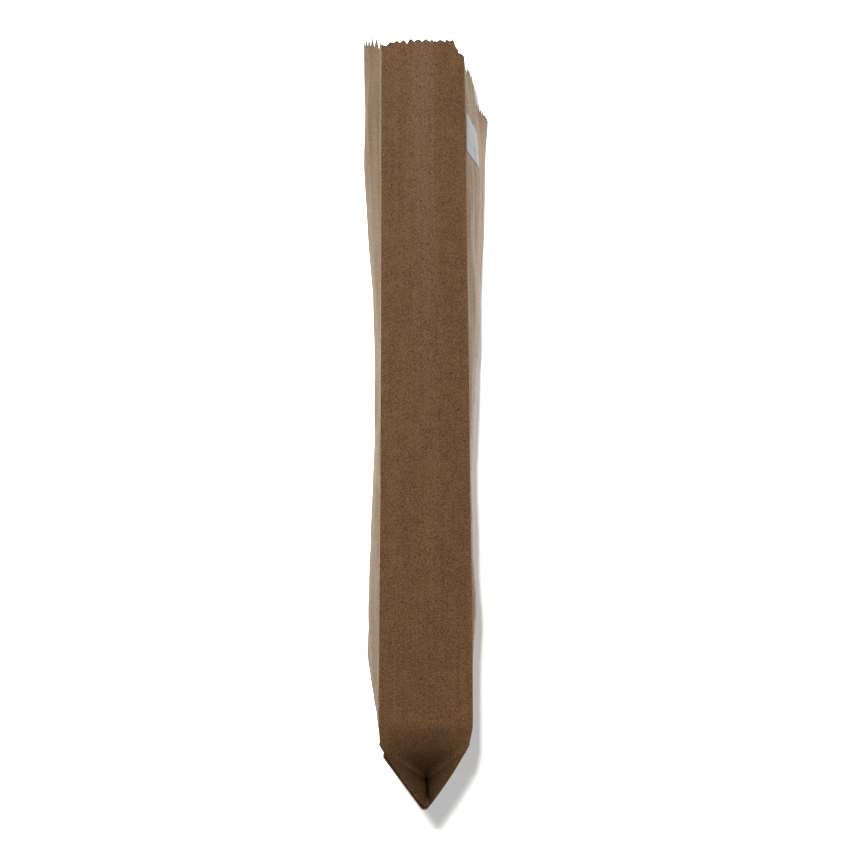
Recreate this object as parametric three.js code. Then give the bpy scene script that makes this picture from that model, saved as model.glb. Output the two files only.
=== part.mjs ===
// An empty paper bag for a long loaf, lying open on its side.
// Two panels and two gussets make a tube. Its bottom is pinched flat along a seam and folded over
// on the left panel, and its mouth is saw cut. It lies on one gusset with the other one up.
// Millimetres. X runs across the bag, Y along it towards the mouth, Z up from what it lies on.
// The shape is worked out with Y from the bottom seam, and moved to its reference point at the end.

import * as THREE from 'three';

// Paper sizes.
const gussetWidth = 60;
const wall = 0.8;
const gussetSteps = 8;
const panelSteps = 12;
const lengthSteps = 30;

// How the bag lies, as values at distances from the seam. The folds are the upper gusset's edges,
// under is the middle of the gusset that the bag lies on, the arch is how high the upper gusset
// stands over its folds, and the bellies are how far the panels stand out.
const leftFold = { along: [41, 62, 245, 491], value: [-28.2, -29.4, -28.5, -28.5] };
const rightFold = { along: [41, 49, 62, 245, 491], value: [28.4, 30.2, 30.6, 28.5, 25.7] };
const foldHeight = { along: [41, 125, 245, 491], value: [120, 119, 117, 109] };
const gussetArch = { along: [41, 125, 245, 365, 491], value: [0, 3.8, 7.4, 9.6, 10.9] };
const under = { along: [69.5, 125, 245, 365, 491], value: [-16.2, -9.5, 3.5, 14.6, 19.3] };
const leftBelly = { along: [69.5, 125, 245, 305, 365, 430, 491], value: [0, 5.6, 6.4, 8.2, 13.7, 18.3, 19.8] };
const rightBelly = {
  along: [41, 125, 165, 215, 250, 305, 365, 440, 491],
  value: [0, 7.6, 4.2, 2.9, 4.4, 5, 3.6, 2.9, -3.2],
};
const bellyPower = 0.75;
const dipShare = 0.08;

// Pinched bottom. The bag starts to close at a crease, nearer the seam on top than underneath, and
// each gusset tucks in to a point on the seam half its own width from the seam's end.
const upperCrease = 41;
const lowerCrease = 69.5;
const seamHeight = 120;
const seamDrift = -8;
const seamHalfThickness = 1.2;
const tuckFloor = 1.5;
const closingWall = 1;
const cavityShare = 0.88;
const flapLength = 45;
const flapThickness = 0.6;
const closingSteps = 3;

// Saw-cut mouth. The left panel has the longer lip and the right panel the shorter one.
const gussetMouth = 489.5;
const cornerMouth = 491.5;
const leftMouth = 504.5;
const rightMouth = 485.5;
const lipRamp = 30;
const cornerRamp = 7;
const toothHeight = 2.5;
const toothWaver = 0.25;
const gussetTeeth = 13;
const panelTeeth = 27;
const mouthBand = 6;

// Price label on the right panel, next to the upper fold.
const labelStart = 424;
const labelHeight = 25;
const labelInset = 1;
const labelWidth = 43;
const labelSlope = 0.05;
const labelGap = 0.5;
const labelThickness = 0.5;
const labelSteps = 9;

const paperColour = 0x6b5139;
const paperRoughness = 0.65;
const labelColour = 0xc1bbbb;
const labelRoughness = 0.5;

const upper = 0;
const right = 1;
const lower = 2;
const left = 3;
const panelWidth = 120;
const sideWidths = [gussetWidth, panelWidth, gussetWidth, panelWidth];
const sideSteps = [gussetSteps, panelSteps, gussetSteps, panelSteps];
const sideTeeth = [gussetTeeth, panelTeeth, gussetTeeth, panelTeeth];

const lerp = THREE.MathUtils.lerp;
const clamp = THREE.MathUtils.clamp;

// A value along the bag runs smoothly, with the slope at each knot that of the chord between its
// neighbours.
function knotSlope(profile, index) {
  const before = Math.max(index - 1, 0);
  const after = Math.min(index + 1, profile.along.length - 1);
  return (profile.value[after] - profile.value[before]) / (profile.along[after] - profile.along[before]);
}

function valueAt(profile, along) {
  const last = profile.along.length - 1;
  const reach = clamp(along, profile.along[0], profile.along[last]);
  let index = 0;
  while (index < last - 1 && profile.along[index + 1] < reach) index += 1;
  const span = profile.along[index + 1] - profile.along[index];
  const t = (reach - profile.along[index]) / span;
  const startPull = span * knotSlope(profile, index) * t * (1 - t) * (1 - t);
  const endPull = span * knotSlope(profile, index + 1) * t * t * (t - 1);
  const between = lerp(profile.value[index], profile.value[index + 1], t * t * (3 - 2 * t));
  return between + startPull + endPull;
}

// The point on the paper at a share of a side's width, going round from the upper left fold.
function paperPoint(side, share, along) {
  const leftEdge = valueAt(leftFold, along);
  const rightEdge = valueAt(rightFold, along);
  const height = valueAt(foldHeight, along);
  const middle = valueAt(under, along);
  const half = gussetWidth / 2;
  if (side === upper) {
    // The arch keeps a slight dip along the gusset's old middle fold.
    const fromMiddle = Math.abs(2 * share - 1);
    const dip = dipShare * Math.max(1 - 4 * fromMiddle, 0);
    const rise = valueAt(gussetArch, along) * (1 - fromMiddle * fromMiddle - dip);
    return new THREE.Vector3(lerp(leftEdge, rightEdge, share), along, height + rise);
  }
  if (side === lower) return new THREE.Vector3(middle + half - gussetWidth * share, along, 0);
  const fromTop = side === right ? share : 1 - share;
  const profile = Math.sin(Math.PI * Math.pow(fromTop, bellyPower));
  const x = side === right
    ? lerp(rightEdge, middle + half, fromTop) + valueAt(rightBelly, along) * profile
    : lerp(leftEdge, middle - half, fromTop) - valueAt(leftBelly, along) * profile;
  return new THREE.Vector3(x, along, height * (1 - fromTop));
}

// How far from the seam the crease runs at a place round the bag.
function creaseAlong(side, share) {
  if (side === upper) return upperCrease;
  if (side === lower) return lowerCrease;
  const fromTop = side === right ? share : 1 - share;
  return lerp(upperCrease, lowerCrease, fromTop);
}

// How far from the seam the valleys of the saw cut run.
function mouthAlong(side, share) {
  if (side === right) return rightMouth;
  const distance = share * sideWidths[side];
  const toEnd = sideWidths[side] - distance;
  if (side === left) return lerp(cornerMouth, leftMouth, clamp(Math.min(distance, toEnd) / lipRamp, 0, 1));
  const fromLeft = side === upper ? distance : toEnd;
  const gusset = lerp(cornerMouth, gussetMouth, clamp(2 * fromLeft / gussetWidth, 0, 1));
  return lerp(rightMouth, gusset, clamp((gussetWidth - fromLeft) / cornerRamp, 0, 1));
}

// The places round the bag where a ring of points has its points, without the last fold twice.
function placesRound(counts) {
  const places = [];
  counts.forEach((count, side) => {
    for (let step = 0; step < count; step += 1) places.push({ side, share: step / count });
  });
  return places;
}

// A ring moved inwards by the wall, square to its own run in X and Z.
function movedIn(ring, distance) {
  return ring.map((point, index) => {
    const before = ring[(index + ring.length - 1) % ring.length];
    const after = ring[(index + 1) % ring.length];
    const first = new THREE.Vector2(point.z - before.z, before.x - point.x).normalize();
    const second = new THREE.Vector2(after.z - point.z, point.x - after.x).normalize();
    const reach = distance / (1 + first.dot(second));
    const moved = first.add(second).multiplyScalar(reach);
    return new THREE.Vector3(point.x + moved.x, point.y, point.z + moved.y);
  });
}

// Collects points and faces for one closed surface.
class Surface {
  constructor() {
    this.positions = [];
    this.faces = [];
  }

  point(place) {
    this.positions.push(place.x, place.y, place.z);
    return this.positions.length / 3 - 1;
  }

  ring(places) {
    return places.map((place) => this.point(place));
  }

  triangle(a, b, c) {
    this.faces.push(a, b, c);
  }

  quad(a, b, c, d) {
    this.triangle(a, b, c);
    this.triangle(a, c, d);
  }

  // Rings of equal count, with the paper's outside on the left when going round and up.
  band(first, second, turned) {
    first.forEach((corner, index) => {
      const next = (index + 1) % first.length;
      if (turned) this.quad(corner, second[index], second[next], first[next]);
      else this.quad(corner, first[next], second[next], second[index]);
    });
  }

  // Rings of different counts, joined in step with how far round each point is.
  zip(first, firstReach, second, secondReach, turned) {
    let i = 0;
    let j = 0;
    while (i < first.length || j < second.length) {
      const nextFirst = i + 1 < first.length ? firstReach[i + 1] : 1;
      const nextSecond = j + 1 < second.length ? secondReach[j + 1] : 1;
      const a = first[i % first.length];
      const b = second[j % second.length];
      const advanceFirst = j >= second.length || (i < first.length && nextFirst <= nextSecond);
      const c = advanceFirst ? first[(i + 1) % first.length] : second[(j + 1) % second.length];
      if (turned) this.triangle(a, b, c);
      else this.triangle(a, c, b);
      if (advanceFirst) i += 1;
      else j += 1;
    }
  }

  // Two open runs of points, joined in step from their first points to their last.
  strip(first, second) {
    let i = 0;
    let j = 0;
    while (i + 1 < first.length || j + 1 < second.length) {
      const firstDone = i / (first.length - 1);
      const secondDone = j / (second.length - 1);
      const advanceFirst = i + 1 < first.length && (j + 1 === second.length || firstDone <= secondDone);
      const next = advanceFirst ? first[i + 1] : second[j + 1];
      this.triangle(first[i], second[j], next);
      if (advanceFirst) i += 1;
      else j += 1;
    }
  }

  mesh(name, colour, roughness) {
    const geometry = new THREE.BufferGeometry();
    geometry.setAttribute('position', new THREE.Float32BufferAttribute(this.positions, 3));
    geometry.setIndex(this.faces);
    geometry.computeVertexNormals();
    const material = new THREE.MeshStandardMaterial({ color: colour, roughness, metalness: 0 });
    const mesh = new THREE.Mesh(geometry, material);
    mesh.name = name;
    return mesh;
  }
}

// How far round the bag each place is, as a share of the whole way.
function reachRound(places) {
  const round = sideWidths.reduce((sum, width) => sum + width, 0);
  const starts = sideWidths.map((_, side) => sideWidths.slice(0, side).reduce((sum, width) => sum + width, 0));
  return places.map(({ side, share }) => (starts[side] + share * sideWidths[side]) / round);
}

// The saw cut: a valley and a tip for each tooth in turn, with the tips a little uneven.
function sawCut() {
  return placesRound(sideTeeth.map((count) => 2 * count)).map(({ side, share }, index) => {
    const isTip = index % 2 === 1;
    const tip = toothHeight * (1 + toothWaver * Math.sin(index * index));
    return paperPoint(side, share, mouthAlong(side, share) + (isTip ? tip : 0));
  });
}

// The seam's middle line, from its upper end to its lower end.
function seamPoint(fromTop) {
  return new THREE.Vector3(seamDrift * fromTop * fromTop, 0, seamHeight * (1 - fromTop));
}

// A point on a closing panel, at a share of the way from the crease down to the seam's middle line
// moved by a shift.
function closingPoint(side, fromTop, share, shift) {
  const place = side === right ? fromTop : 1 - fromTop;
  return paperPoint(side, place, creaseAlong(side, place)).lerp(seamPoint(fromTop).add(shift), share);
}

function makeBag() {
  const surface = new Surface();
  const places = placesRound(sideSteps);
  const reach = reachRound(places);
  const count = places.length;

  // The tube, from the crease to just below the saw cut, outside and inside.
  const outerRings = [];
  const innerRings = [];
  for (let step = 0; step <= lengthSteps; step += 1) {
    const ring = places.map(({ side, share }) => {
      const along = lerp(creaseAlong(side, share), mouthAlong(side, share) - mouthBand, step / lengthSteps);
      return paperPoint(side, share, along);
    });
    outerRings.push(surface.ring(ring));
    innerRings.push(surface.ring(movedIn(ring, wall)));
  }
  for (let step = 0; step < lengthSteps; step += 1) {
    surface.band(outerRings[step], outerRings[step + 1], false);
    surface.band(innerRings[step], innerRings[step + 1], true);
  }
  // The saw cut, with the tube's last rings joined to its valleys and a triangle for each tooth.
  const saw = sawCut();
  const valleyReach = reachRound(placesRound(sideTeeth));
  const outerSaw = surface.ring(saw);
  const innerSaw = surface.ring(movedIn(saw, wall));
  const isValley = (_, index) => index % 2 === 0;
  surface.zip(outerRings[lengthSteps], reach, outerSaw.filter(isValley), valleyReach, false);
  surface.zip(innerRings[lengthSteps], reach, innerSaw.filter(isValley), valleyReach, true);
  for (let valley = 0; valley < saw.length; valley += 2) {
    const next = (valley + 2) % saw.length;
    surface.triangle(outerSaw[valley], outerSaw[next], outerSaw[valley + 1]);
    surface.triangle(innerSaw[valley], innerSaw[valley + 1], innerSaw[next]);
  }
  surface.band(outerSaw, innerSaw, false);

  // The folds, as places in a ring.
  const upperLeft = 0;
  const upperRight = gussetSteps;
  const lowerRight = upperRight + panelSteps;
  const lowerLeft = lowerRight + gussetSteps;

  // The panels outside, from the crease down to the seam. Both are held as columns from the top
  // fold to the bottom fold, and the flap lies on the left one.
  const columns = { left: [], right: [] };
  const panels = [
    { side: left, list: columns.left, foot: -seamHalfThickness, raised: flapThickness },
    { side: right, list: columns.right, foot: seamHalfThickness, raised: 0 },
  ];
  panels.forEach(({ side, list, foot, raised }) => {
    const shift = new THREE.Vector3(foot, 0, 0);
    for (let step = 0; step <= panelSteps; step += 1) {
      const fromTop = step / panelSteps;
      const at = (share) => closingPoint(side, fromTop, share, shift);
      const flapShare = 1 - flapLength / at(0).distanceTo(at(1));
      const start = side === left ? (count - step) % count : upperRight + step;
      const column = [outerRings[0][start], surface.point(at(flapShare))];
      for (let row = raised > 0 ? 0 : 1; row <= closingSteps; row += 1) {
        const place = at(lerp(flapShare, 1, row / closingSteps));
        place.x -= raised;
        column.push(surface.point(place));
      }
      list.push(column);
    }
  });
  columns.left.slice(1).forEach((column, index) => {
    const above = columns.left[index];
    for (let row = 0; row + 1 < column.length; row += 1) {
      surface.quad(column[row + 1], above[row + 1], above[row], column[row]);
    }
  });
  columns.right.slice(1).forEach((column, index) => {
    const above = columns.right[index];
    for (let row = 0; row + 1 < column.length; row += 1) {
      surface.quad(above[row + 1], column[row + 1], column[row], above[row]);
    }
  });

  // The seam's edge, between the feet of the two panels.
  for (let step = 0; step < panelSteps; step += 1) {
    const [leftAbove, leftBelow] = [columns.left[step].at(-1), columns.left[step + 1].at(-1)];
    const [rightAbove, rightBelow] = [columns.right[step].at(-1), columns.right[step + 1].at(-1)];
    surface.quad(leftAbove, leftBelow, rightBelow, rightAbove);
  }

  // The tucks: each gusset folds in from the crease to a point on the seam. Its two flanks lie
  // against the panels, in rows that get wider towards the seam, where the flanks meet.
  const tuckShare = gussetWidth / 2 / seamHeight;
  const tuckRows = Math.round(tuckShare * panelSteps);
  const lift = new THREE.Vector3(0, tuckFloor, 0);
  const tucks = [
    { fold: upperLeft, sides: [left, right], end: 0, list: [columns.left[0], columns.right[0]] },
    { fold: lowerRight, sides: [right, left], end: 1, list: [columns.right.at(-1), columns.left.at(-1)] },
  ];
  tucks.forEach(({ fold, sides, end, list }) => {
    const gussetEdge = outerRings[0].concat(outerRings[0]).slice(fold, fold + gussetSteps + 1);
    const fromTop = (column) => Math.abs(end - column / panelSteps);
    const meeting = [];
    for (let column = 0; column <= tuckRows; column += 1) {
      meeting.push(surface.point(seamPoint(fromTop(column)).add(lift)));
    }
    const flanks = sides.map((side, index) => {
      const rows = [[list[index][0]]];
      for (let row = 1; row < tuckRows; row += 1) {
        const run = [];
        for (let column = 0; column <= row; column += 1) {
          run.push(surface.point(closingPoint(side, fromTop(column), row / tuckRows, lift)));
        }
        rows.push(run);
      }
      rows.push(meeting);
      return rows;
    });
    const [first, second] = flanks;
    for (let row = 1; row <= tuckRows; row += 1) {
      for (let column = 0; column < row; column += 1) {
        surface.triangle(first[row - 1][column], first[row][column], first[row][column + 1]);
        surface.triangle(second[row - 1][column], second[row][column + 1], second[row][column]);
      }
      for (let column = 0; column + 1 < row; column += 1) {
        surface.triangle(first[row - 1][column], first[row][column + 1], first[row - 1][column + 1]);
        surface.triangle(second[row - 1][column], second[row - 1][column + 1], second[row][column + 1]);
      }
    }
    let above = gussetEdge;
    for (let row = 1; row < tuckRows; row += 1) {
      const below = [first[row].at(-1), second[row].at(-1)];
      surface.strip(above, below);
      above = below;
    }
    surface.triangle(above[0], meeting.at(-1), above[1]);
    surface.strip(first.slice(1).map((run) => run[0]), list[0]);
    surface.strip(list[1], second.slice(1).map((run) => run[0]));
    surface.triangle(list[0].at(-1), list[1].at(-1), meeting[0]);
  });

  // The hollow between the panels, down to where they meet.
  let previous = innerRings[0];
  let lowest = [];
  for (let row = 1; row <= closingSteps; row += 1) {
    const share = (cavityShare * row) / closingSteps;
    const start = tuckShare * share + closingWall / seamHeight;
    const inside = (side, across) => {
      const place = closingPoint(side, lerp(start, 1 - start, across), share, lift);
      place.x += side === left ? closingWall : -closingWall;
      return place;
    };
    const ring = places.map(({ side, share: across }) => {
      if (side === upper) return inside(left, 0).lerp(inside(right, 0), across);
      if (side === lower) return inside(right, 1).lerp(inside(left, 1), across);
      return inside(side, side === right ? across : 1 - across);
    });
    lowest = surface.ring(ring);
    surface.band(lowest, previous, true);
    previous = lowest;
  }
  const rung = (step) => [lowest[(count - step) % count], lowest[upperRight + step]];
  for (let step = 1; step < panelSteps - 1; step += 1) {
    const [a, b] = rung(step);
    const [c, d] = rung(step + 1);
    surface.quad(a, b, d, c);
  }
  const [upperRungLeft, upperRungRight] = rung(1);
  const [lowerRungLeft, lowerRungRight] = rung(panelSteps - 1);
  for (let step = 0; step < gussetSteps; step += 1) {
    surface.triangle(upperRungLeft, lowest[upperLeft + step], lowest[upperLeft + step + 1]);
    surface.triangle(lowerRungRight, lowest[lowerRight + step], lowest[lowerRight + step + 1]);
  }
  surface.triangle(upperRungLeft, lowest[upperRight], upperRungRight);
  surface.triangle(lowerRungRight, lowest[lowerLeft], lowerRungLeft);
  return surface.mesh('bag', paperColour, paperRoughness);
}

// The label follows the right panel, a little way off it.
function makeLabel() {
  const surface = new Surface();
  const nudge = 0.5;
  const rings = [];
  for (let step = 0; step <= labelSteps; step += 1) {
    const inward = labelInset + (labelWidth * step) / labelSteps;
    const start = labelStart + labelSlope * inward;
    const share = inward / panelWidth;
    const corner = (along, lift) => {
      const here = paperPoint(right, share, along);
      const across = paperPoint(right, share + nudge / panelWidth, along).sub(here);
      const onwards = paperPoint(right, share, along + nudge).sub(here);
      return here.add(across.cross(onwards).normalize().multiplyScalar(lift));
    };
    const outside = labelGap + labelThickness;
    rings.push(surface.ring([
      corner(start, labelGap),
      corner(start + labelHeight, labelGap),
      corner(start + labelHeight, outside),
      corner(start, outside),
    ]));
  }
  for (let step = 0; step < labelSteps; step += 1) surface.band(rings[step], rings[step + 1], false);
  const first = rings[0];
  const last = rings[labelSteps];
  surface.quad(first[3], first[2], first[1], first[0]);
  surface.quad(last[0], last[1], last[2], last[3]);
  return surface.mesh('label', labelColour, labelRoughness);
}

const paperBag = new THREE.Group();
paperBag.add(makeBag(), makeLabel());

// The reference point is the middle of the bag's outline on the surface that it lies on.
const outline = new THREE.Box3().setFromObject(paperBag);
const middle = outline.getCenter(new THREE.Vector3());
paperBag.position.set(-middle.x, -middle.y, -outline.min.z);

export default paperBag;
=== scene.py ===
import math

import bmesh
import bpy
import numpy as np
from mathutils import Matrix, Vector


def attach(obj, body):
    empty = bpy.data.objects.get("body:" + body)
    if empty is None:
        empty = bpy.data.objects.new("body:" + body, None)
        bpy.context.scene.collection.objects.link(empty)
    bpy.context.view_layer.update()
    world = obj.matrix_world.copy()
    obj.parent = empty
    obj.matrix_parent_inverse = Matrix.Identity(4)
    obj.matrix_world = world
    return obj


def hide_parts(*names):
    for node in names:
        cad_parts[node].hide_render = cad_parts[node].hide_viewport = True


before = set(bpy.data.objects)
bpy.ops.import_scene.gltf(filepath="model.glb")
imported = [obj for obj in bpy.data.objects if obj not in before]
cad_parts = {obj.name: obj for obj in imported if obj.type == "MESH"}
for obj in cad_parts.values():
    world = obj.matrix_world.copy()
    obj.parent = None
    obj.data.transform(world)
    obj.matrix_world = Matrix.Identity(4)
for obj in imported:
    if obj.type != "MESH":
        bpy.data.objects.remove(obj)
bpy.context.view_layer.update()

# The bag is worked out in millimetres with Y from the bottom seam, as in the solids, and moved
# to the frame at the end. The seam's upper end lies here in the frame.
MM = 0.001
SEAM_X = -1.4505
SEAM_Y = -253.812

GUSSET = 60.0
PANEL = 120.0
UPPER, RIGHT, LOWER, LEFT = range(4)
WIDTH = (GUSSET, PANEL, GUSSET, PANEL)

# How the bag lies, as values at distances from the seam: the upper folds' places across the bag, their height,
# the upper gusset's arch, the middle of the lower gusset and the panels' bellies.
LEFT_FOLD = ((41, 62, 245, 491), (-29.3, -29.6, -28.5, -28.5))
RIGHT_FOLD = ((41, 49, 62, 245, 491), (28.4, 30.2, 30.6, 28.5, 25.7))
FOLD_HEIGHT = ((41, 125, 245, 491), (120, 119, 117, 109))
ARCH = ((41, 125, 245, 365, 491), (0, 3.8, 7.4, 9.6, 10.9))
UNDER = ((69.5, 125, 245, 365, 491), (-16.2, -9.5, 3.5, 14.6, 19.3))
BELLY = {
    RIGHT: ((41, 125, 165, 215, 250, 305, 365, 440, 491), (0, 7.6, 4.2, 2.9, 3.5, 4.4, 3.3, 2.8, -3.2)),
    LEFT: ((41, 69.5, 95, 125, 245, 305, 365, 430, 491), (0.8, 1.8, 4.1, 6.1, 8.7, 11.4, 17.8, 22.6, 23.8)),
}
# Below 1 the belly lies higher than the middle of the panel, and above 1 lower.
BELLY_POWER = {RIGHT: 0.75, LEFT: 1.1}
# The arch flattens out towards the folds, and dips a little at its top.
ARCH_FLATTENING = 0.6
DIP_SHARE = 0.08

# The panels ripple at their lips, as a shift in X at shares of the way down, within a reach of the mouth.
RIPPLE = {
    RIGHT: (
        (0, 0.2, 0.3, 0.4, 0.47, 0.55, 0.62, 0.7, 0.78, 0.91, 1),
        (0, 0.4, 1.4, 2.1, 0.8, -1.6, -1.8, -0.7, 1.4, 2.5, 0.4),
    ),
    LEFT: (
        (0, 0.021, 0.083, 0.144, 0.206, 0.267, 0.328, 0.39, 0.497, 0.62, 1),
        (0, 0.6, 1.4, 1.4, 1.2, 0.8, 0.2, -0.6, -0.6, 0, 0),
    ),
}
RIPPLE_REACH = {RIGHT: (440, 486), LEFT: (460, 490)}

# The bottom is pinched shut along a seam, whose place in plan is given at shares of the way down.
UPPER_CREASE = 41.0
LOWER_CREASE = 69.5
SEAM_HEIGHT = 120.0
# The upper gusset sinks by this much at its crease, from this far before it.
SINK, SINK_REACH = 4.6, 13.5
SEAM_PLACE = ((0, 0.25, 0.6, 1), (2.1, 0.8, -2.4, -7.9))
SEAM_OFF = 3.5
# The tucks go down to this share of the height at the seam, by a power of the way to it.
TUCK_SHARE = GUSSET / 2 / SEAM_HEIGHT
TUCK_POWER = 1.3

rng = np.random.default_rng(7)


def smooth(low, high, value):
    t = np.clip((value - low) / (high - low), 0, 1)
    return t * t * (3 - 2 * t)


def value_at(profile, along):
    """A smooth curve through the profile's knots, with each knot's slope that of its neighbours' chord."""
    knots, values = (np.asarray(side, float) for side in profile)
    last = len(knots) - 1
    before = np.maximum(np.arange(last + 1) - 1, 0)
    after = np.minimum(np.arange(last + 1) + 1, last)
    slope = (values[after] - values[before]) / (knots[after] - knots[before])
    reach = np.clip(along, knots[0], knots[-1])
    index = np.clip(np.searchsorted(knots, reach) - 1, 0, last - 1)
    span = knots[index + 1] - knots[index]
    t = (reach - knots[index]) / span
    pulls = span * t * (1 - t) * (slope[index] * (1 - t) - slope[index + 1] * t)
    rise = t * t * (3 - 2 * t)
    return values[index] * (1 - rise) + values[index + 1] * rise + pulls


class Waves:
    """A field over the flat paper, made of a few seeded waves. Sharp ones have a crease at each crest."""

    def __init__(self, count, across, along, height, sharp=False):
        self.sharp = sharp
        self.across = 2 * math.pi / rng.uniform(*across, count)
        self.along = 2 * math.pi / rng.uniform(*along, count) * rng.choice((-1, 1), count)
        self.phase = rng.uniform(0, 2 * math.pi, count)
        self.height = height / math.sqrt(count)

    def __call__(self, across, along):
        total = np.zeros(np.broadcast(across, along).shape)
        for k_across, k_along, phase in zip(self.across, self.along, self.phase):
            wave = np.sin(k_across * across + k_along * along + phase)
            total += 0.64 - np.abs(wave) if self.sharp else wave
        return total * self.height


streaks = Waves(12, (9, 30), (140, 420), 0.12)
dents = Waves(10, (30, 90), (50, 150), 0.38)
folds = Waves(5, (70, 200), (180, 500), 0.7, sharp=True)


# The paper's unevenness dies out in this share of a side's width next to its folds. The four sides are this
# far apart in the fields, so that they don't look alike.
STIFF_SHARE = 0.06
SIDE_SHIFT = 97


def paper(side, share, along):
    """Points of the paper at shares of a side's width, going round from the upper left fold."""
    share, along = np.broadcast_arrays(np.asarray(share, float), np.asarray(along, float))
    left_edge = value_at(LEFT_FOLD, along)
    right_edge = value_at(RIGHT_FOLD, along)
    height = value_at(FOLD_HEIGHT, along)
    middle = value_at(UNDER, along)
    half = GUSSET / 2
    across = share * WIDTH[side] + SIDE_SHIFT * side
    loose = smooth(0, STIFF_SHARE, share) * smooth(0, STIFF_SHARE, 1 - share)
    uneven = (streaks(across, along) + dents(across, along) + folds(across, along)) * loose
    if side == UPPER:
        from_middle = np.abs(2 * share - 1)
        dip = DIP_SHARE * np.maximum(1 - 4 * from_middle, 0)
        arch = (1 - from_middle ** 2) * (1 - ARCH_FLATTENING * from_middle ** 2) - dip
        rise = value_at(ARCH, along) * arch
        x = left_edge + (right_edge - left_edge) * share
        near_crease = np.clip(1 - (along - UPPER_CREASE) / SINK_REACH, 0, 1)
        sunk = SINK * near_crease ** 2 * (1 - from_middle ** 4)
        return np.stack([x, along, height + rise + 0.25 * uneven - sunk], -1)
    if side == LOWER:
        x = middle + half - GUSSET * share
        return np.stack([x, along, 0.15 * loose * (1 + uneven)], -1)
    outward, edge = (1, right_edge) if side == RIGHT else (-1, left_edge)
    from_top = share if side == RIGHT else 1 - share
    bulge = np.sin(math.pi * from_top ** BELLY_POWER[side])
    x = edge + (middle + outward * half - edge) * from_top
    x = x + outward * value_at(BELLY[side], along) * bulge + uneven
    x = x + value_at(RIPPLE[side], from_top) * smooth(*RIPPLE_REACH[side], along)
    return np.stack([x, along, height * (1 - from_top)], -1)


def crease_along(side, share):
    from_top = {UPPER: 0 * share, RIGHT: share, LOWER: 0 * share + 1, LEFT: 1 - share}[side]
    return UPPER_CREASE + (LOWER_CREASE - UPPER_CREASE) * from_top


# The saw cut's pitch, and the teeth's height on the sides where they aren't given one by one.
PITCH = 4.45
TOOTH = {RIGHT: 3.8, LOWER: 2.4, LEFT: 3.4}

# The upper gusset's cut, as distances from the seam at places across it.
UPPER_LIP = (
    (0, 494.3), (0.7, 493.7), (2, 493), (3.5, 492.2), (5, 493.3), (6.5, 494.4), (8.7, 493), (11.6, 493.9),
    (13.4, 492), (15.2, 492.7), (16.6, 493.1), (18.8, 490.1), (20.2, 492.2), (21.6, 492.9), (23.8, 490.7),
    (25.2, 491.8), (28, 491.9), (29.4, 490.7), (32.3, 492.5), (33.7, 491.5), (35.1, 490.8), (36.5, 492.4),
    (37.6, 490.9), (38.6, 491.6), (39.7, 491.1), (42.2, 493), (45.8, 492.3), (47, 494.3), (48.7, 493.6),
    (49.8, 493.9), (51.6, 495.2), (52.3, 494.5), (53, 492.5), (54.1, 490.6), (55.2, 489.9), (55.9, 487.6),
    (57.4, 487.6), (58.5, 487.1), (60, 485.7),
)

# The left panel's cut near its upper fold, by the distance from that fold.
LEFT_LIP = (
    (0, 494.3), (4.3, 495.2), (7.6, 500.7), (12.1, 496.1), (17.8, 506.4), (21.6, 501.9), (25.1, 510.4),
    (28.3, 505.5), (31.5, 513), (34.3, 508), (37.1, 515.6), (39.7, 510.2), (42.4, 517.5), (44.9, 512.3),
    (47.4, 519), (50.4, 512.9),
)


def lip_base(side, across):
    """How far from the seam the valleys of the saw cut run on the sides other than the upper one."""
    if side == RIGHT:
        tall = smooth(25, 29, across) * smooth(46, 43, across)
        dip = smooth(2, 8, across) * smooth(27, 22, across)
        return 485 + 3.4 * tall - 4.5 * dip - 2.3 * smooth(60, 75, across)
    if side == LEFT:
        return 493.5 + 19.5 * np.clip(across / (PANEL - LEFT_LIP[-1][0]), 0, 1)
    return 489.5 + 0 * across


def saw(side):
    """Places across a side and their distances from the seam, from one fold to the next."""
    if side == UPPER:
        return np.array(UPPER_LIP).T
    width = PANEL - LEFT_LIP[-1][0] if side == LEFT else WIDTH[side]
    count = round(width / PITCH)
    spread = rng.uniform(-0.5, 0.5, count - 1)
    valleys = np.concatenate([[0], np.arange(1, count) * width / count + spread, [width]])
    tips = (valleys[:-1] + valleys[1:]) / 2 + rng.uniform(-0.35, 0.35, count)
    places = np.empty(2 * count + 1)
    places[0::2] = valleys
    places[1::2] = tips
    edge = lip_base(side, places)
    edge[1::2] += TOOTH[side] * rng.uniform(0.7, 1.5, count)
    if side == RIGHT:
        edge[0] = UPPER_LIP[-1][1]
    if side == LEFT:
        measured = np.array(LEFT_LIP).T[:, ::-1]
        places = np.concatenate([places[:-1], PANEL - measured[0]])
        edge = np.concatenate([edge[:-1], measured[1]])
    return places, edge


def columns(places):
    """The grid's places across a side: each run of the saw cut in three, and finer at the folds."""
    fine = [places[0] + 0.25, places[0] + 0.55, places[-1] - 0.55, places[-1] - 0.25]
    split = [a + (b - a) * k / 3 for a, b in zip(places[:-1], places[1:]) for k in range(3)]
    every = sorted([*split, places[-1], *fine])
    kept = [every[0]]
    for place in every[1:]:
        if place - kept[-1] > 0.2:
            kept.append(place)
    kept[-1] = places[-1]
    return np.array(kept)


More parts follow.
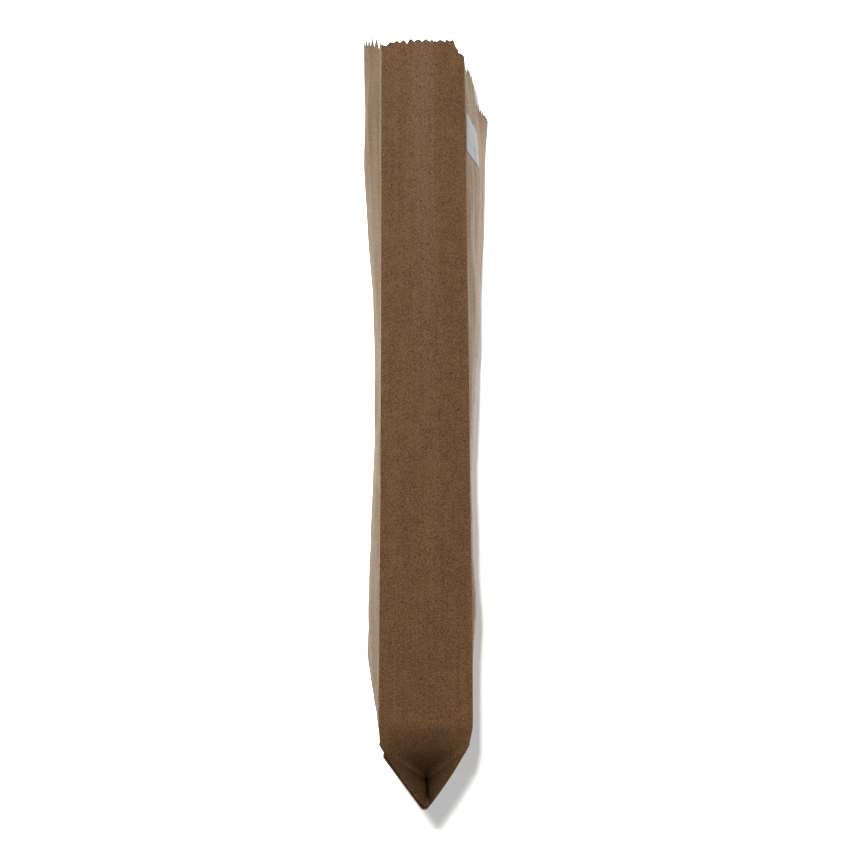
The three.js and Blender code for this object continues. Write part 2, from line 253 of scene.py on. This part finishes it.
class Sheet:
    """Collects grids of points into one mesh, and joins what coincides."""

    def __init__(self):
        self.points = []
        self.faces = []
        self.layers = {"soft": [], "cut": [], "deep": []}
        self.count = 0

    def grid(self, points, turned=False, **values):
        rows, cols = points.shape[:2]
        index = self.count + np.arange(rows * cols).reshape(rows, cols)
        a, b, c, d = index[:-1, :-1], index[:-1, 1:], index[1:, 1:], index[1:, :-1]
        quads = np.stack([a, d, c, b] if turned else [a, b, c, d], -1).reshape(-1, 4)
        self.points.append(points.reshape(-1, 3))
        self.faces.append(quads)
        for key, parts in self.layers.items():
            parts.append(np.broadcast_to(values.get(key, 0.0), (rows, cols)).ravel())
        self.count += rows * cols

    def object(self, name, join=0.004):
        points = np.concatenate(self.points) + np.array([SEAM_X, SEAM_Y, 0])
        mesh = bpy.data.meshes.new(name)
        mesh.from_pydata((points * MM).tolist(), [], np.concatenate(self.faces).tolist())
        for key, parts in self.layers.items():
            layer = mesh.attributes.new(key, "FLOAT", "POINT")
            layer.data.foreach_set("value", np.concatenate(parts).astype(np.float32))
        work = bmesh.new()
        work.from_mesh(mesh)
        bmesh.ops.remove_doubles(work, verts=work.verts, dist=join * MM)
        bmesh.ops.dissolve_degenerate(work, edges=work.edges, dist=join * MM)
        work.to_mesh(mesh)
        work.free()
        mesh.update()
        piece = bpy.data.objects.new(name, mesh)
        bpy.context.scene.collection.objects.link(piece)
        return piece


def seam(from_top):
    from_top = np.asarray(from_top, float)
    return np.stack([value_at(SEAM_PLACE, from_top), 0 * from_top + SEAM_OFF, SEAM_HEIGHT * (1 - from_top)], -1)


# The closing panels' paths in plan end at these offsets from the seam. The left one turns at its tip, and each
# swells outwards on the way.
RIGHT_FOOT = (1.6, -0.5, 0)
LEFT_TIP = (-2.7, -2.7, 0)
TIP_SHARE, TIP_ROUND = 0.92, 0.05
RIGHT_SWELL, LEFT_SWELL = 0.9, 0.65
RIGHT_OUT = np.array([0.83, -0.55, 0])
LEFT_OUT = np.array([-0.83, -0.56, 0])
# The tucks' flanks come close to each other this far ahead of the seam, at this share of the way to it, and end
# beside it. The gap between them there grows with the depth. A flank has left its panel at LEAVE_DEPTH.
PINCH_SHARE = 0.87
PINCH_AHEAD = (0, 5.0, 0)
PINCH_GAP, PINCH_OPENING = 0.2, 4.4
PINCH_END = 0.06
LEAVE_DEPTH = {RIGHT: 0.12, LEFT: 0.15}


def closing(side, from_top, share):
    """A point on the outside of a closing panel, at a share of the way from the crease to the seam."""
    from_top, share = np.broadcast_arrays(np.asarray(from_top, float), np.asarray(share, float))
    place = from_top if side == RIGHT else 1 - from_top
    top = paper(side, place, crease_along(side, place))
    low = seam(from_top)
    flow = share[..., None]
    if side == RIGHT:
        foot = low + RIGHT_FOOT
        swell = RIGHT_SWELL * np.sin(math.pi * share)
        return top + (foot - top) * flow + swell[..., None] * RIGHT_OUT
    tip = low + LEFT_TIP
    swell = LEFT_SWELL * np.sin(math.pi * np.clip(share / TIP_SHARE, 0, 1))
    run = top + (tip - top) * np.minimum(flow / TIP_SHARE, 1) + swell[..., None] * LEFT_OUT
    turn = np.clip((share - TIP_SHARE + TIP_ROUND) / (2 * TIP_ROUND), 0, 1)[..., None]
    before = top + (tip - top) * (1 - TIP_ROUND / TIP_SHARE)
    after = tip + (low - tip) * TIP_ROUND / (1 - TIP_SHARE)
    bend = before * (1 - turn) ** 2 + tip * 2 * turn * (1 - turn) + after * turn ** 2
    end = tip + (low - tip) * np.clip((flow - TIP_SHARE) / (1 - TIP_SHARE), 0, 1)
    return np.where(turn <= 0, run, np.where(turn >= 1, end, bend))


def tucked(side, from_top, share, depth):
    """A point on a tuck's flank, at a depth below the panel's edge, as a share of the seam's height.

    It leaves the panel there and makes straight for the seam.
    """
    outward = -1 if side == LEFT else 1
    place = from_top if side == RIGHT else 1 - from_top
    top = paper(side, place, crease_along(side, place))
    gap = PINCH_GAP + PINCH_OPENING * depth
    low = seam(from_top) + (outward * PINCH_END, 0, 0)
    near = seam(from_top) + outward * gap[..., None] * np.array([1.0, 0, 0]) + PINCH_AHEAD
    flow = share[..., None]
    straight = np.where(
        flow < PINCH_SHARE,
        top + (near - top) * flow / PINCH_SHARE,
        near + (low - near) * (flow - PINCH_SHARE) / (1 - PINCH_SHARE),
    )
    leave = 1 - (1 - np.clip(depth / LEAVE_DEPTH[side], 0, 1))[..., None] ** 2
    return closing(side, from_top, share) * (1 - leave) + straight * leave


lips = [saw(side) for side in range(4)]
places = [columns(lip[0]) for lip in lips]

TUBE_ROWS = 59
LIP_ROWS = 5
FLANK_COLUMNS = 16
CLOSING_SHARES = np.concatenate([np.linspace(0, 0.8, 15), np.linspace(0.825, 1, 15)[1:]])

# Where the rows that follow the saw cut begin, as distances from the seam at places across each side.
LIP_START = {
    UPPER: ((0, 4, 30, 53, 60), (483, 482, 481, 482, 476.3)),
    RIGHT: ((0, 8, 22, 30, 120), (476.3, 472, 472, 476.3, 476.3)),
    LOWER: ((0, 60), (476.3, 480.5)),
    LEFT: ((0, 70, 120), (480.5, 500, 483)),
}


def tube(side):
    """The side's grid from the crease to the saw cut, with a row for each distance from the seam."""
    across = places[side]
    share = across / WIDTH[side]
    crease = crease_along(side, share)
    edge = np.interp(across, *lips[side])
    low = np.interp(across, *LIP_START[side])
    rise = (np.arange(TUBE_ROWS + 1) / TUBE_ROWS) ** 1.35
    body = crease + rise[:, None] * (low - crease)
    step = np.arange(1, LIP_ROWS + 1) / LIP_ROWS
    lip = low + step[:, None] * (edge - low)
    return paper(side, share[None, :], np.concatenate([body, lip]))


def tube_softness(side):
    """How far the crease at the bottom may round, across a side. The folds keep most of their edge."""
    across = places[side]
    return 0.4 + 0.6 * smooth(0, 5, np.minimum(across, WIDTH[side] - across))


def make_bag():
    """The bag's paper: four sides, two closing panels and a tuck at each end of the seam."""
    sheet = Sheet()
    for side in range(4):
        points = tube(side)
        crease = crease_along(side, places[side] / WIDTH[side])
        cut = np.zeros(points.shape[:2])
        cut[-1] = 1
        sheet.grid(points, soft=smooth(12, 1, points[..., 1] - crease) * tube_softness(side), cut=cut)
    share = CLOSING_SHARES[:, None]
    for side in (LEFT, RIGHT):
        across = places[side][None, :]
        from_top = across / PANEL if side == RIGHT else 1 - across / PANEL
        away = smooth(0.25, 0.02, share)
        sheet.grid(closing(side, from_top, share), turned=True, soft=away * tube_softness(side))
    for end in (0, 1):
        sides = (LEFT, RIGHT) if end == 0 else (RIGHT, LEFT)
        part = (np.arange(FLANK_COLUMNS + 1) / FLANK_COLUMNS)[None, :]
        depth = TUCK_SHARE * share ** TUCK_POWER * part
        soft = smooth(0.1, 0.7, part) * smooth(0.88, 0.75, share) * smooth(0, 0.1, share)
        first, second = (tucked(side, np.abs(end - depth), share, depth) for side in sides)
        gusset, start = (UPPER, UPPER_CREASE) if end == 0 else (LOWER, LOWER_CREASE)
        across = places[gusset]
        inner = first[:, -1:, :], second[:, -1:, :]
        face = inner[0] + (inner[1] - inner[0]) * (across / GUSSET)[None, :, None]
        face[0] = paper(gusset, across / GUSSET, start)
        if gusset == UPPER:
            sunk = SINK * (1 - np.abs(2 * across / GUSSET - 1) ** 4)
            face[1:, :, 2] -= sunk * (1 - share[1:] ** 2)
        middle = smooth(0, 5, np.minimum(across, GUSSET - across))
        face_soft = np.maximum(soft[:, -1:], smooth(0.3, 0.0, share) * middle)
        # Painted shade in the tucks: their colour darkens towards the seam, and most at the pinched slit, where
        # the recess lies in shade.
        pinch_shade = 0.6 * smooth(0.75, 0.95, share)
        deep = share ** 0.6 * (1.05 + 0.35 * part) + pinch_shade * part
        sheet.grid(first, turned=True, soft=soft, deep=deep)
        sheet.grid(face, turned=True, soft=face_soft, deep=share + pinch_shade)
        sheet.grid(second[:, ::-1], turned=True, soft=soft[:, ::-1], deep=deep[:, ::-1])
    return sheet.object("paper_bag")


bag = make_bag()


def points_of(piece):
    flat = np.empty(len(piece.data.vertices) * 3)
    piece.data.vertices.foreach_get("co", flat)
    return flat.reshape(-1, 3)


def relax(piece, weight, rounds):
    """Draws each point towards the mean of its neighbours, as far as its weight says."""
    mesh = piece.data
    points = points_of(piece)
    edges = np.empty(len(mesh.edges) * 2, int)
    mesh.edges.foreach_get("vertices", edges)
    a, b = edges.reshape(-1, 2).T
    degree = np.bincount(a, minlength=len(points)) + np.bincount(b, minlength=len(points))
    for _ in range(rounds):
        mean = np.zeros_like(points)
        np.add.at(mean, a, points[b])
        np.add.at(mean, b, points[a])
        points += weight[:, None] * (mean / degree[:, None] - points)
    mesh.vertices.foreach_set("co", points.ravel())
    mesh.update()


# How far each point is from the nearest of the four long folds.
x, y, z = (points_of(bag) / MM - np.array([SEAM_X, SEAM_Y, 0])).T
fold_z = value_at(FOLD_HEIGHT, y)
left_x, right_x = value_at(LEFT_FOLD, y), value_at(RIGHT_FOLD, y)
under_x = value_at(UNDER, y)
distances = [
    np.hypot(x - left_x, z - fold_z),
    np.hypot(x - right_x, z - fold_z),
    np.hypot(x - under_x - GUSSET / 2, z),
    np.hypot(x - under_x + GUSSET / 2, z),
]
near_fold = np.minimum.reduce(distances)

# The folds are rounded a little between the crease and the mouth, and then the bottom where it is soft.
in_tube = smooth(60, 80, y) * smooth(484, 480, y)
relax(bag, 0.5 * smooth(1.0, 0.3, near_fold) * in_tube, 2)

soft = np.empty(len(bag.data.vertices), np.float32)
bag.data.attributes["soft"].data.foreach_get("value", soft)
relax(bag, 0.7 * soft, 30)

# How worn the paper is at its folds, together with a painted highlight along them. It shows on the panels only.
wear_and_highlight = bag.data.attributes.new("wear_and_highlight", "FLOAT", "POINT")
on_gusset = (z > fold_z + 0.02) | (z < 1)
rub_and_highlight = np.where(on_gusset, 0, smooth(1.8, 0.2, near_fold) * smooth(45, 70, y))
wear_and_highlight.data.foreach_set("value", rub_and_highlight.astype(np.float32))


def thicken(piece, thickness):
    solid = piece.modifiers.new("thickness", "SOLIDIFY")
    solid.thickness = thickness * MM
    solid.offset = -1
    piece.data.shade_smooth()


def close_slab(sheet, outer, inner):
    """A closed slab between two grids of points."""
    sheet.grid(outer)
    sheet.grid(inner, turned=True)
    sheet.grid(np.stack([outer[0], inner[0]]), turned=True)
    sheet.grid(np.stack([outer[-1], inner[-1]]))
    sheet.grid(np.stack([outer[:, 0], inner[:, 0]]))
    sheet.grid(np.stack([outer[:, -1], inner[:, -1]]), turned=True)


PAPER_THICKNESS = 0.14
thicken(bag, PAPER_THICKNESS)

# The folded bottom's length on the left panel, its thickness of two papers and glue, and the radius of its bend.
FLAP = 44.0
FLAP_THICKNESS = 0.45
FLAP_BEND = 3.0
# The corner that it bends round, from the seam, and how far its end stands off the left panel's crease.
FLAP_CORNER = (-2.6, -5.8, 0)
FLAP_OFF = 2.7
# It comes up out of the right panel from this deep, and then lies this far outside.
FLAP_DIVE, FLAP_GAP = 0.2, 0.03
FLAP_ROWS = 60


def make_flap():
    """The folded bottom: the right panel's paper turns round the seam and lies on the left panel."""
    sheet = Sheet()
    levels = (np.arange(FLAP_ROWS + 1) / FLAP_ROWS) * 0.994 + 0.003
    rings = []
    for level in levels:
        corner = seam(level) + FLAP_CORNER
        foot = closing(RIGHT, level, 1)
        beside = closing(RIGHT, level, np.linspace(0.94, 0.98, 3))
        far = closing(LEFT, level, 0.02) + LEFT_OUT * FLAP_OFF
        right_way = (foot - corner) / np.linalg.norm(foot - corner)
        left_way = (far - corner) / np.linalg.norm(far - corner)
        half = math.acos(np.clip(right_way @ left_way, -1, 1)) / 2
        reach = FLAP_BEND / math.tan(half)
        turn = np.linspace(0, 1, 22)[:, None]
        middle = (right_way + left_way) / np.linalg.norm(right_way + left_way)
        centre = corner + middle * FLAP_BEND / math.sin(half)
        start, end = corner + right_way * reach, corner + left_way * reach
        angle = (math.pi - 2 * half) * turn
        arm = (start - centre) / FLAP_BEND
        square = np.array([arm[1], -arm[0], 0])
        bend = centre + FLAP_BEND * (np.cos(angle) * arm + np.sin(angle) * square)
        lead = foot + (start - foot) * np.linspace(0, 1, 6)[:-1, None]
        run = end + (corner + left_way * FLAP - end) * np.linspace(0, 1, 30)[1:, None]
        rings.append(np.concatenate([beside, lead, bend, run]))
    centre = np.array(rings)
    ahead = np.gradient(centre, axis=1)
    side = np.stack([-ahead[..., 1], ahead[..., 0], 0 * ahead[..., 0]], -1)
    side /= np.linalg.norm(side, axis=-1, keepdims=True)
    steps = np.arange(centre.shape[1])
    width = FLAP_THICKNESS * (0.1 + 0.9 * smooth(0, 14, steps))[None, :, None]
    outer = centre + side * (FLAP_GAP - FLAP_DIVE * smooth(3, 0, steps))[None, :, None]
    inner = outer - side * width
    close_slab(sheet, outer, inner)
    return sheet.object("bottom_flap")


flap = make_flap()
flap.data.shade_smooth()

# The label's place from the seam and from the upper fold, its size, and how it slants.
LABEL_START, LABEL_INSET = 424.0, 1.0
LABEL_HEIGHT, LABEL_WIDTH, LABEL_SLOPE = 25.0, 43.0, 0.05
LABEL_GAP, LABEL_THICKNESS = 0.12, 0.16


def make_label():
    """The price label, which follows the right panel."""
    sheet = Sheet()
    inward = np.linspace(LABEL_INSET, LABEL_INSET + LABEL_WIDTH, 44)[None, :]
    along = LABEL_START + LABEL_SLOPE * inward + np.linspace(0, LABEL_HEIGHT, 26)[:, None]
    share = np.broadcast_to(inward / PANEL, along.shape)
    here = paper(RIGHT, share, along)
    across = paper(RIGHT, share + 0.004, along) - here
    onwards = paper(RIGHT, share, along + 0.5) - here
    normal = np.cross(across, onwards)
    normal /= np.linalg.norm(normal, axis=-1, keepdims=True)
    low, high = here + normal * LABEL_GAP, here + normal * (LABEL_GAP + LABEL_THICKNESS)
    close_slab(sheet, high, low)
    return sheet.object("price_label")


label = make_label()
label.data.shade_smooth()

# The two slabs' faces all look outwards.
for piece in (flap, label):
    work = bmesh.new()
    work.from_mesh(piece.data)
    bmesh.ops.recalc_face_normals(work, faces=work.faces)
    work.to_mesh(piece.data)
    work.free()


class Nodes:
    """A material's node tree."""

    def __init__(self, name):
        self.material = bpy.data.materials.new(name)
        self.material.use_nodes = True
        self.tree = self.material.node_tree
        self.shader = self.tree.nodes["Principled BSDF"]

    def node(self, kind, **settings):
        made = self.tree.nodes.new("ShaderNode" + kind)
        for key, value in settings.items():
            if key in made.inputs:
                made.inputs[key].default_value = value
            else:
                setattr(made, key, value)
        return made

    def link(self, output, socket):
        self.tree.links.new(output, socket)

    def math(self, operation, *values):
        made = self.node("Math", operation=operation)
        for socket, value in zip(made.inputs, values):
            if isinstance(value, (int, float)):
                socket.default_value = value
            else:
                self.link(value, socket)
        return made.outputs[0]

    def coordinates(self, stretch=(1, 1, 1)):
        made = self.node("Mapping")
        made.inputs["Scale"].default_value = stretch
        self.link(self.node("TexCoord").outputs["Object"], made.inputs["Vector"])
        return made.outputs["Vector"]

    def noise(self, scale, detail=2.0, roughness=0.5, stretch=(1, 1, 1)):
        made = self.node("TexNoise", Scale=scale, Detail=detail, Roughness=roughness)
        self.link(self.coordinates(stretch), made.inputs["Vector"])
        return made.outputs["Fac"]

    def span(self, value, low, high, to_low=0.0, to_high=1.0):
        made = self.node("MapRange", clamp=True)
        for name, number in (("From Min", low), ("From Max", high), ("To Min", to_low), ("To Max", to_high)):
            made.inputs[name].default_value = number
        self.link(value, made.inputs["Value"])
        return made.outputs[0]

    def mix(self, share, first, second):
        made = self.node("Mix", data_type="RGBA")
        self.link(share, made.inputs["Factor"])
        for socket, value in ((made.inputs[6], first), (made.inputs[7], second)):
            if isinstance(value, tuple):
                socket.default_value = (*value, 1)
            else:
                self.link(value, socket)
        return made.outputs[2]


def specks(nodes, cell, radius, chance):
    """Small spots, one in a share of the cells."""
    cells = nodes.node("TexVoronoi", Scale=1 / cell)
    nodes.link(nodes.coordinates(), cells.inputs["Vector"])
    split = nodes.node("SeparateColor")
    nodes.link(cells.outputs["Color"], split.inputs["Color"])
    chosen = nodes.math("LESS_THAN", split.outputs[0], chance)
    spot = nodes.span(cells.outputs["Distance"], radius * 0.6 / cell, radius / cell, 1.0, 0.0)
    return nodes.math("MULTIPLY", chosen, spot)


def kraft(name):
    """Brown paper: fibres and clouds, specks, folds paled by wear and a painted highlight, a dark cut edge, and
    painted shade in the tucks.
    """
    nodes = Nodes(name)
    grain = nodes.noise(1350, 2.0, 0.6)
    fine = nodes.noise(2700, 2.0, 0.6)
    cloud = nodes.noise(110, 3.0, 0.55)
    streak = nodes.noise(420, 2.0, 0.6, (1, 0.03, 1))
    tone = nodes.math("ADD", nodes.math("MULTIPLY", grain, 0.50), nodes.math("MULTIPLY", fine, 0.34))
    tone = nodes.math("ADD", tone, nodes.math("MULTIPLY", cloud, 0.08))
    tone = nodes.math("ADD", tone, nodes.math("MULTIPLY", streak, 0.08))
    tone = nodes.span(tone, 0.437, 0.563)
    colour = nodes.mix(tone, (0.100, 0.049, 0.018), (0.275, 0.142, 0.062))
    dark = specks(nodes, 0.0048, 0.00065, 0.28)
    colour = nodes.mix(dark, colour, (0.018, 0.010, 0.006))
    light = specks(nodes, 0.009, 0.0006, 0.10)
    colour = nodes.mix(nodes.math("MULTIPLY", light, 0.6), colour, (0.42, 0.31, 0.20))
    # Pale folds on the panels: partly wear, and partly a painted highlight where the rounded fold catches the
    # light.
    rub_and_highlight = nodes.node("Attribute", attribute_name="wear_and_highlight").outputs["Fac"]
    rub_and_highlight = nodes.math("MULTIPLY", rub_and_highlight, nodes.span(grain, 0.3, 0.7, 0.1, 0.36))
    colour = nodes.mix(rub_and_highlight, colour, (0.34, 0.24, 0.155))
    cut = nodes.node("Attribute", attribute_name="cut").outputs["Fac"]
    colour = nodes.mix(nodes.span(cut, 0.25, 0.9, 0, 0.8), colour, (0.030, 0.022, 0.016))
    # Painted shade: the tucks' colour darkens towards their slit.
    deep = nodes.node("Attribute", attribute_name="deep").outputs["Fac"]
    colour = nodes.mix(nodes.span(deep, 0, 1.6, 0, 0.95), colour, (0.012, 0.006, 0.003))
    nodes.link(colour, nodes.shader.inputs["Base Color"])
    nodes.link(nodes.span(cloud, 0.3, 0.7, 0.60, 0.72), nodes.shader.inputs["Roughness"])
    relief = nodes.math("ADD", nodes.math("MULTIPLY", grain, 0.6), nodes.math("MULTIPLY", streak, 0.8))
    bump = nodes.node("Bump", Strength=0.35, Distance=0.00015)
    nodes.link(relief, bump.inputs["Height"])
    nodes.link(bump.outputs["Normal"], nodes.shader.inputs["Normal"])
    nodes.shader.inputs["Specular IOR Level"].default_value = 0.22
    return nodes.material


def label_paper(name):
    """White label paper, with a few plain grey bars for its print."""
    nodes = Nodes(name)
    grain = nodes.noise(1500, 2.0, 0.5)
    cloud = nodes.noise(60, 2.0, 0.5)
    tone = nodes.math("ADD", nodes.math("MULTIPLY", grain, 0.4), nodes.math("MULTIPLY", cloud, 0.6))
    colour = nodes.mix(nodes.span(tone, 0.35, 0.65), (0.29, 0.27, 0.305), (0.36, 0.335, 0.375))
    split = nodes.node("SeparateXYZ")
    nodes.link(nodes.node("TexCoord").outputs["Object"], split.inputs[0])
    along, up = split.outputs[1], split.outputs[2]
    for middle, low, high in ((0.1885, 0.088, 0.098), (0.1862, 0.086, 0.094), (0.1795, 0.076, 0.104)):
        away = nodes.math("ABSOLUTE", nodes.math("SUBTRACT", along, middle))
        line = nodes.span(away, 0.0003, 0.0006, 1, 0)
        inside = nodes.math("MULTIPLY", nodes.math("GREATER_THAN", up, low), nodes.math("LESS_THAN", up, high))
        bar = nodes.math("MULTIPLY", nodes.math("MULTIPLY", line, inside), 0.55)
        colour = nodes.mix(bar, colour, (0.16, 0.155, 0.165))
    nodes.link(colour, nodes.shader.inputs["Base Color"])
    nodes.link(nodes.span(grain, 0.3, 0.7, 0.55, 0.65), nodes.shader.inputs["Roughness"])
    nodes.shader.inputs["Specular IOR Level"].default_value = 0.15
    bump = nodes.node("Bump", Strength=0.2, Distance=0.0001)
    nodes.link(grain, bump.inputs["Height"])
    nodes.link(bump.outputs["Normal"], nodes.shader.inputs["Normal"])
    return nodes.material


kraft_material = kraft("kraft_paper")
for piece in (bag, flap):
    piece.data.materials.append(kraft_material)
    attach(piece, "root")
    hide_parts("bag")
label.data.materials.append(label_paper("label_paper"))
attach(label, "root")
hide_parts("label")

# Floor, lights and camera. The floor glows a little, so that it stays pale.
floor_mesh = bpy.data.meshes.new("floor")
floor_mesh.from_pydata([(-3, -3, 0), (3, -3, 0), (3, 3, 0), (-3, 3, 0)], [], [(0, 1, 2, 3)])
floor = bpy.data.objects.new("floor", floor_mesh)
floor.location.z = -0.0002
bpy.context.scene.collection.objects.link(floor)
floor_nodes = Nodes("floor")
floor_nodes.shader.inputs["Base Color"].default_value = (0.9, 0.9, 0.905, 1)
floor_nodes.shader.inputs["Roughness"].default_value = 0.9
floor_nodes.shader.inputs["Specular IOR Level"].default_value = 0.1
floor_nodes.shader.inputs["Emission Color"].default_value = (1, 1, 1, 1)
floor_nodes.shader.inputs["Emission Strength"].default_value = 0.32
floor_mesh.materials.append(floor_nodes.material)

world = bpy.data.worlds.new("studio")
bpy.context.scene.world = world
world.use_nodes = True
world.node_tree.nodes["Background"].inputs["Color"].default_value = (1, 1, 1, 1)
world.node_tree.nodes["Background"].inputs["Strength"].default_value = 0.19


def lamp(name, place, aim, size, power, lit, colour=(1, 1, 1)):
    """A soft rectangular lamp that lights the given objects."""
    data = bpy.data.lights.new(name, "AREA")
    data.shape = "RECTANGLE"
    data.size, data.size_y = size
    data.energy = power
    data.color = colour
    made = bpy.data.objects.new(name, data)
    made.location = place
    made.rotation_euler = (Vector(aim) - Vector(place)).to_track_quat("-Z", "Y").to_euler()
    bpy.context.scene.collection.objects.link(made)
    group = bpy.data.collections.new(name)
    for thing in lit:
        group.objects.link(thing)
    made.light_linking.receiver_collection = group


paper_things = (bag, flap, label)
lamp("key", (-0.22, 1.9, 2.2), (0, 0, 0.1), (0.9, 0.9), 66, paper_things)
lamp("floor_light", (-0.045, 0.075, 0.6), (-0.045, 0.075, 0), (0.05, 0.05), 12.4, (floor,), (0.955, 1, 0.9))

camera_data = bpy.data.cameras.new("camera")
camera_data.sensor_width = 36
camera_data.lens = 750 / 850 * 36
camera = bpy.data.objects.new("camera", camera_data)
camera.location = (SEAM_X * MM, (SEAM_Y + 245.5) * MM, 0.5987)
bpy.context.scene.collection.objects.link(camera)
bpy.context.scene.camera = camera
bpy.context.scene.view_settings.view_transform = "Standard"
